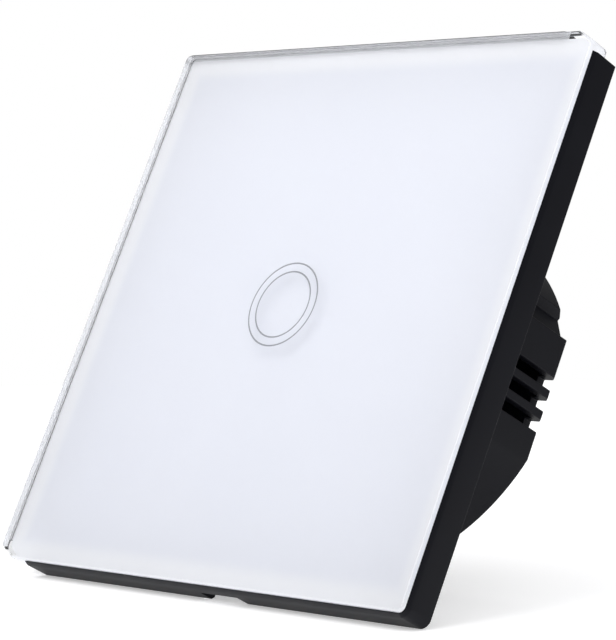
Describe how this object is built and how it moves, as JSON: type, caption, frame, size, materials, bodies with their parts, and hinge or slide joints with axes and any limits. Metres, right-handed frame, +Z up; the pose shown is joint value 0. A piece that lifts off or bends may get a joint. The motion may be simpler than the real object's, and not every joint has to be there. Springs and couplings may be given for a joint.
{
  "type": "touch light switch",
  "caption": "Square glass touch switch on a clip-off frame, with a ring mark to touch, a wall plate, and a round box insert holding a relay board and screw terminals.",
  "frame": {"origin": "middle of the switch on the wall surface, between the two wall screws", "axes": "+X to the right seen from the room, +Y into the wall, +Z up"},
  "size_m": [0.08, 0.0274, 0.08],
  "materials": {
    "glass": "clear polished float glass",
    "white_print": "white screen print behind the glass",
    "foam": "grey closed cell foam",
    "black_plastic": "fine satin moulding",
    "zinc_steel": "zinc plated",
    "board": "green solder mask",
    "copper": "plated copper",
    "light_guide": "frosted acrylic",
    "led": "moulded lens",
    "chip": "moulded package",
    "gold_pin": "gold flashed",
    "relay_case": "moulded case",
    "film_case": "epoxy filled box",
    "can_sleeve": "shrink sleeve",
    "fuse_body": "ceramic body",
    "brass": "stamped brass"
  },
  "bodies": {
    "base": {"mounting_plate": "zinc_steel", "chassis": "black_plastic", "plate_screws": "zinc_steel", "rear_housing": "black_plastic", "housing_screws": "zinc_steel", "touch_board": "board", "touch_pad": "copper", "light_guide": "light_guide", "indicator_leds": "led", "touch_chip": "chip", "power_board": "board", "header_block": "chip", "header_pins": "gold_pin", "relay": "relay_case", "film_capacitor": "film_case", "filter_capacitor": "can_sleeve", "fuse": "fuse_body", "terminal_block": "black_plastic", "terminal_bars": "brass"},
    "panel": {"glass_panel": "glass", "back_print": "white_print", "foam_tape": "foam", "panel_frame": "black_plastic"},
    "screw_1": {"terminal_screw_1": "zinc_steel"},
    "clamp_1": {"terminal_clamp_1": "zinc_steel"},
    "screw_2": {"terminal_screw_2": "zinc_steel"},
    "clamp_2": {"terminal_clamp_2": "zinc_steel"},
    "screw_3": {"terminal_screw_3": "zinc_steel"},
    "clamp_3": {"terminal_clamp_3": "zinc_steel"}
  },
  "joints": [
    {"name": "panel_release", "type": "slide", "parent": "base", "child": "panel", "axis": [0, -1, 0], "range_m": [0, 0.025]},
    {"name": "screw_turn_1", "type": "hinge", "parent": "base", "child": "screw_1", "pos_m": [-0.007, 0.02, -0.01875], "axis": [0, -1, 0], "range_deg": [0, 1440]},
    {"name": "clamp_lift_1", "type": "slide", "parent": "base", "child": "clamp_1", "axis": [0, 1, 0], "range_m": [0, 0.002]},
    {"name": "screw_turn_2", "type": "hinge", "parent": "base", "child": "screw_2", "pos_m": [0, 0.02, -0.01875], "axis": [0, -1, 0], "range_deg": [0, 1440]},
    {"name": "clamp_lift_2", "type": "slide", "parent": "base", "child": "clamp_2", "axis": [0, 1, 0], "range_m": [0, 0.002]},
    {"name": "screw_turn_3", "type": "hinge", "parent": "base", "child": "screw_3", "pos_m": [0.007, 0.02, -0.01875], "axis": [0, -1, 0], "range_deg": [0, 1440]},
    {"name": "clamp_lift_3", "type": "slide", "parent": "base", "child": "clamp_3", "axis": [0, 1, 0], "range_m": [0, 0.002]}
  ],
  "couplings": [
    {"joint": "screw_turn_1", "follows": "clamp_lift_1", "rad_per_m": 12566},
    {"joint": "screw_turn_2", "follows": "clamp_lift_2", "rad_per_m": 12566},
    {"joint": "screw_turn_3", "follows": "clamp_lift_3", "rad_per_m": 12566}
  ]
}
